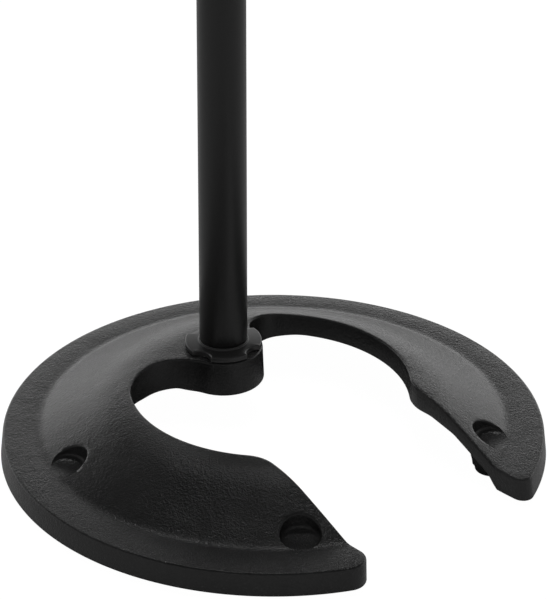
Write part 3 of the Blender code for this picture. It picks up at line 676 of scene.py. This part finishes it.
def baseFlange(material):
    low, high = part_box("base_flange")
    top = low.z + flange["thickness"]
    bore = flange["bore"]
    profile = [
        (bore, low.z, 0), (flange["radius"], low.z, 0.0003), (flange["radius"], top, flange["edge"]),
        (flange["collar"] + 0.0001, top, 0.0004), (flange["collar"], high.z, 0.0003), (bore, high.z, 0),
    ]
    disc = turn("baseFlange", profile, hub, 128)
    reach = flange["radius"] - flange["notchDepth"] + flange["notch"]
    bottom, above, edge = low.z - 0.001, top + 0.001, flange["edge"]
    size = flange["notch"]
    cutter = [(0, bottom, 0), (size, bottom, 0), (size, top - edge, 0)]
    for k in range(1, 5):  # flares over the disc's edge as the opening's cutter does
        lean = math.radians(22.5 * k)
        past = clear if k == 4 else 0
        cutter.append((size + edge * (1 - math.cos(lean)), top - edge + edge * math.sin(lean) + past, 0))
    cutter += [(size + edge, above, 0), (0, above, 0)]
    for i in range(flange["notches"]):
        at = onCircle(hub, reach, flange["firstNotch"] + math.tau * i / flange["notches"])
        carve(disc, turn("notch", cutter, at))
    tidyMesh(disc)
    finished(disc, material, "black_zinc", "stand", "base_flange", smoothAngle=40)


# tubes

tube = {"outerBore": 0.0100, "mastBore": 0.0068, "lip": 0.0004}


def drawnTube(name, node, body, bore, material):
    low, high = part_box(node)
    radius, lip = (high.x - low.x) / 2, tube["lip"]
    profile = [(bore, low.z, lip), (radius, low.z, lip), (radius, high.z, lip), (bore, high.z, lip)]
    piece = turn(name, profile, hub, 128)
    finished(piece, material, "coated_steel", body, node)


# clutch

grip = {
    "flutes": 10, "fluteDepth": 0.0011, "flutedTop": 0.0054, "rings": 22, "bore": 0.0127,
    "mastHole": 0.0083, "mouth": 0.0124, "shoulder": 0.009, "steps": 240,
}
clutch = {
    "neck": 0.0124, "bore": 0.0115, "shoulder": 0.002, "coneDepth": 0.014,
    "groove": 0.0005, "lowGroove": 0.0040, "highGroove": 0.0052,
}


def clutchBody(material):
    low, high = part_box("clutch_body")
    skirt = (high.x - low.x) / 2
    neck, bore, hole = clutch["neck"], clutch["bore"], grip["mastHole"]
    shoulder, tubeStop = tubeHigh.z - clutch["shoulder"], tubeHigh.z + gap
    cone = high.z - clutch["coneDepth"]

    def groove(bottom):
        depth = skirt - clutch["groove"]
        return [
            (skirt, bottom, 0.0002), (depth, bottom + 0.0005, 0.0003),
            (depth, bottom + 0.0013, 0.0003), (skirt, bottom + 0.0018, 0.0002),
        ]

    profile = [
        (bore, low.z, 0.0003), (skirt - 0.0008, low.z, 0.0004), (skirt, low.z + 0.0010, 0.0004),
        *groove(low.z + clutch["lowGroove"]), *groove(shoulder - clutch["highGroove"]),
        (skirt, shoulder, 0.0007), (neck, shoulder, 0.0002), (neck, high.z, 0.0003),
        (hole + 0.0023, high.z, 0.0002), (hole + 0.0009, cone, 0), (hole, cone - 0.001, 0),
        (hole, tubeStop, 0), (bore, tubeStop, 0),
    ]
    piece = turn("clutchBody", profile, hub, 128)
    finished(piece, material, "black_zinc", "stand", "clutch_body")


def clutchGrip(material):
    low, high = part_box("clutch_grip")
    radius = (high.x - low.x) / 2
    shoulder, flutedTop, rings = high.z - grip["shoulder"], high.z - grip["flutedTop"], grip["rings"]
    wallFoot = low.z + 0.0004
    wall = [(radius, wallFoot + (flutedTop - wallFoot) * i / rings, 0) for i in range(rings + 1)]
    profile = [
        (grip["bore"], low.z, 0.0003), (radius - 0.0012, low.z, 0.0004), *wall,
        (radius - 0.0006, flutedTop + 0.0022, 0.0006), (radius - 0.0024, flutedTop + 0.0044, 0.0009),
        (grip["mouth"], high.z, 0.0005), (grip["mastHole"], high.z, 0.0003),
        (grip["mastHole"], shoulder, 0), (grip["bore"], shoulder, 0),
    ]
    piece = turn("clutchGrip", profile, hub, grip["steps"])
    for vertex in piece.data.vertices:
        arm = vertex.co.xy - hub
        if arm.length < grip["bore"] + 0.0016:
            continue
        wave = (1 + math.cos(math.atan2(arm.y, arm.x) * grip["flutes"])) / 2
        fade = easeIn(vertex.co.z, low.z + 0.0016, low.z + 0.0046)
        fade *= 1 - easeIn(vertex.co.z, flutedTop - 0.003, flutedTop)
        arm *= 1 - grip["fluteDepth"] * wave ** 2.2 * fade / arm.length
        vertex.co.xy = hub + arm
    finished(piece, material, "black_plastic", "clutch_grip", "clutch_grip", smoothAngle=50)


def clutchWiper(material):
    low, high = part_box("clutch_wiper")
    radius = (high.x - low.x) / 2
    profile = [
        (grip["mastHole"], low.z, 0), (radius, low.z, 0.0002), (radius, high.z - 0.0004, 0.0005),
        (grip["mastHole"] + 0.0012, high.z, 0.0004), (grip["mastHole"], high.z - 0.0003, 0.0002),
    ]
    piece = turn("clutchWiper", profile, hub, 96)
    finished(piece, material, "rubber", "clutch_grip", "clutch_wiper")


# top thread

stud = {"lip": 0.0065, "collar": 0.003, "thread": 0.00476}
thread = {
    "radius": 0.00794, "pitch": 0.00094, "depth": 0.00052, "bore": 0.00506,
    "slot": 0.0022, "slotDepth": 0.0018, "holeGap": 0.0003,
}


def topStud(material):
    low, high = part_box("top_stud")
    collar = (high.x - low.x) / 2
    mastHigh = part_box("mast_tube")[1]
    collarBottom = mastHigh.z + gap
    collarTop = collarBottom + stud["collar"]
    lip, size = stud["lip"], stud["thread"]
    profile = [
        (0, low.z, 0), (lip, low.z, 0.0006), (lip, collarBottom, 0), (collar, collarBottom, 0.0005),
        (collar, collarTop, 0.0005), (size, collarTop, 0), (size, high.z, 0.0008), (0, high.z, 0),
    ]
    piece = turn("topStud", profile, hub, 96)
    finished(piece, material, "black_zinc", "mast", "top_stud")


def threadAdapter(material):
    low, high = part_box("thread_adapter")
    root, crest = thread["radius"] - thread["depth"], thread["radius"] - 0.00002
    pitch = thread["pitch"]
    bore = thread["bore"]
    profile = [(bore, low.z, 0.0002), (root, low.z, 0.0003), (root, high.z, 0.0005), (bore, high.z, 0.0003)]
    piece = turn("threadAdapter", profile, hub, 96)
    turns = int((high.z - low.z - 0.0016) / pitch)
    start, sunk = low.z + 0.0006, root - 0.0001
    ridge = loop("ridge", [
        (sunk, 0, start), (crest, 0, start + pitch * 0.36), (crest, 0, start + pitch * 0.46),
        (sunk, 0, start + pitch * 0.82),
    ])
    helix = ridge.modifiers.new("helix", "SCREW")
    helix.screw_offset = pitch
    helix.iterations = turns
    helix.steps = helix.render_steps = 48
    helix.use_merge_vertices = False
    activate(ridge)
    bpy.ops.object.modifier_apply(modifier="helix")
    bpy.ops.object.mode_set(mode="EDIT")
    bpy.ops.mesh.select_all(action="SELECT")
    bpy.ops.mesh.fill_holes(sides=4)
    bpy.ops.mesh.select_all(action="SELECT")
    bpy.ops.transform.translate(value=(hub.x, hub.y, 0))
    tidyMesh(ridge, 1e-7)
    carve(piece, ridge, "UNION")
    deselectAll()
    bpy.ops.mesh.primitive_cube_add(
        size=1, location=(hub.x, hub.y, high.z), scale=(0.03, thread["slot"], 2 * thread["slotDepth"]))
    slot = bpy.context.object
    bpy.ops.object.transform_apply(location=True, rotation=True, scale=True)
    carve(piece, slot)
    tidyMesh(piece)
    finished(piece, material, "plated_steel", "mast", "thread_adapter", smoothAngle=30)


ring = {"ribs": 40, "ribDepth": 0.0005, "rings": 10, "inset": 0.0007}


def lockRing(material):
    low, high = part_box("lock_ring")
    radius = (high.y - low.y) / 2
    hole = thread["radius"] + thread["holeGap"]
    ribs, rings, inset = ring["ribs"], ring["rings"], ring["inset"]
    wall = [(radius, low.z + inset + (high.z - low.z - 2 * inset) * i / rings, 0) for i in range(rings + 1)]
    profile = [
        (hole, low.z, 0.0004), (radius - inset, low.z, 0.0002), *wall,
        (radius - inset, high.z, 0.0002), (hole, high.z, 0.0004),
    ]
    piece = turn("lockRing", profile, hub, ribs * 8)
    for vertex in piece.data.vertices:
        arm = vertex.co.xy - hub
        if arm.length > radius - inset / 2:
            phase = math.atan2(arm.y, arm.x) * ribs / math.tau % 1
            arm *= 1 - ring["ribDepth"] * abs(2 * phase - 1) / arm.length
            vertex.co.xy = hub + arm
    finished(piece, material, "black_zinc", "lock_ring", "lock_ring", smoothAngle=28)


def rubberWasher(material):
    low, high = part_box("lock_washer")
    radius = (high.x - low.x) / 2
    hole = thread["radius"] + thread["holeGap"]
    profile = [
        (hole, low.z, 0.0002), (radius, low.z, 0.0003), (radius, high.z, 0.0003), (hole, high.z, 0.0002),
    ]
    piece = turn("lockWasher", profile, hub, 96)
    finished(piece, material, "rubber", "lock_washer", "lock_washer")


# studio and assembly

def layFloor():
    deselectAll()
    bpy.ops.mesh.primitive_plane_add(size=studio["floorSize"])
    floor = bpy.context.object
    floor.name = "studioFloor"
    paper = Finish("floorPaper", 0.9, specular=0.1)
    grain = paper.noise(35, 3.0, 0.6)
    paper.feed(paper.shader.inputs["Base Color"], paper.blendColour(grain, shade(0.60), shade(0.64)))
    seen = paper.node("ShaderNodeLightPath", {}, {}, "Is Camera Ray")
    glow = paper.node("ShaderNodeEmission", {}, {"Color": (1, 1, 1, 1), "Strength": studio["floorGlow"]})
    body = Signal(paper, paper.shader.outputs[0])
    mixed = paper.node("ShaderNodeMixShader", {}, {0: seen * studio["whiteOut"], 1: body, 2: glow})
    paper.feed(paper.nodes["Material Output"].inputs["Surface"], mixed)
    floor.data.materials.append(paper.material)


def lightStudio():
    world = bpy.data.worlds.new("studio")
    world.use_nodes = True
    bpy.context.scene.world = world
    nodes, links = world.node_tree.nodes, world.node_tree.links
    split = nodes.new("ShaderNodeSeparateXYZ")
    links.new(nodes.new("ShaderNodeTexCoord").outputs["Generated"], split.inputs[0])

    def ramp(axis, start, end, first, last):
        fade = nodes.new("ShaderNodeMapRange")
        fade.interpolation_type = "SMOOTHSTEP"
        for socket, value in zip(("From Min", "From Max", "To Min", "To Max"), (start, end, first, last)):
            fade.inputs[socket].default_value = value
        links.new(split.outputs[axis], fade.inputs["Value"])
        return fade.outputs[0]

    # the backdrop glows low down behind the stand, and the front is dim
    glow = nodes.new("ShaderNodeMath")
    glow.operation = "MULTIPLY_ADD"
    links.new(ramp("Z", 0.0, studio["horizonTop"], studio["horizon"], 0), glow.inputs[0])
    links.new(ramp("Y", *studio["frontTurn"], studio["front"], 1), glow.inputs[1])
    glow.inputs[2].default_value = studio["overhead"]
    links.new(glow.outputs[0], nodes["Background"].inputs["Strength"])
    nodes["Background"].inputs["Color"].default_value = (1, 1, 1, 1)
    areaLight("fill", studio["fillSize"], studio["fill"], studio["fillPlace"], glossy=False)
    areaLight("key", studio["keySize"], studio["key"], studio["keyPlace"])


aimCamera()
layFloor()
lightStudio()
print("studio ready")

iron = coatedIron()
steelCoat = coatedSteel()
zinc = blackZinc("blackZinc", 0.28)
gloss = blackZinc("glossZinc", 0.25)
plated = metal("platedSteel", shade(0.42), shade(0.58, 0.01), 0.24, (60, 60, 2600))
brass = metal("brass", (0.52, 0.36, 0.14, 1), (0.68, 0.49, 0.22, 1), 0.26, (60, 60, 2600))
nylon = moulded("nylon", shade(0.50, 0.03), shade(0.60, 0.04), 0.42, 1200, 0.00003)
plastic = moulded("blackPlastic", shade(0.012), shade(0.020), 0.42, 2600, 0.00005)
rubber = moulded("rubber", shade(0.012), shade(0.022), 0.66, 1500, 0.00006)
print("finishes ready")

baseCasting(iron)
rubberFeet(rubber)
boltHead(plated)
baseFlange(gloss)
drawnTube("outerTube", "outer_tube", "stand", tube["outerBore"], steelCoat)
drawnTube("mastTube", "mast_tube", "mast", tube["mastBore"], steelCoat)
clutchBody(zinc)
clutchGrip(plastic)
clutchWiper(rubber)
topStud(zinc)
threadAdapter(plated)
rubberWasher(rubber)
lockRing(zinc)

keptNodes = {
    "flat_washer": plated, "spring_washer": plated, "tube_plug": plated, "clutch_collet": nylon,
    "clutch_ring": brass, "mast_end_plug": nylon, "mast_glide": nylon,
}
for name, material in keptNodes.items():
    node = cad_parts[name]
    for slot in node.material_slots:
        slot.material = material
print("parts finished")
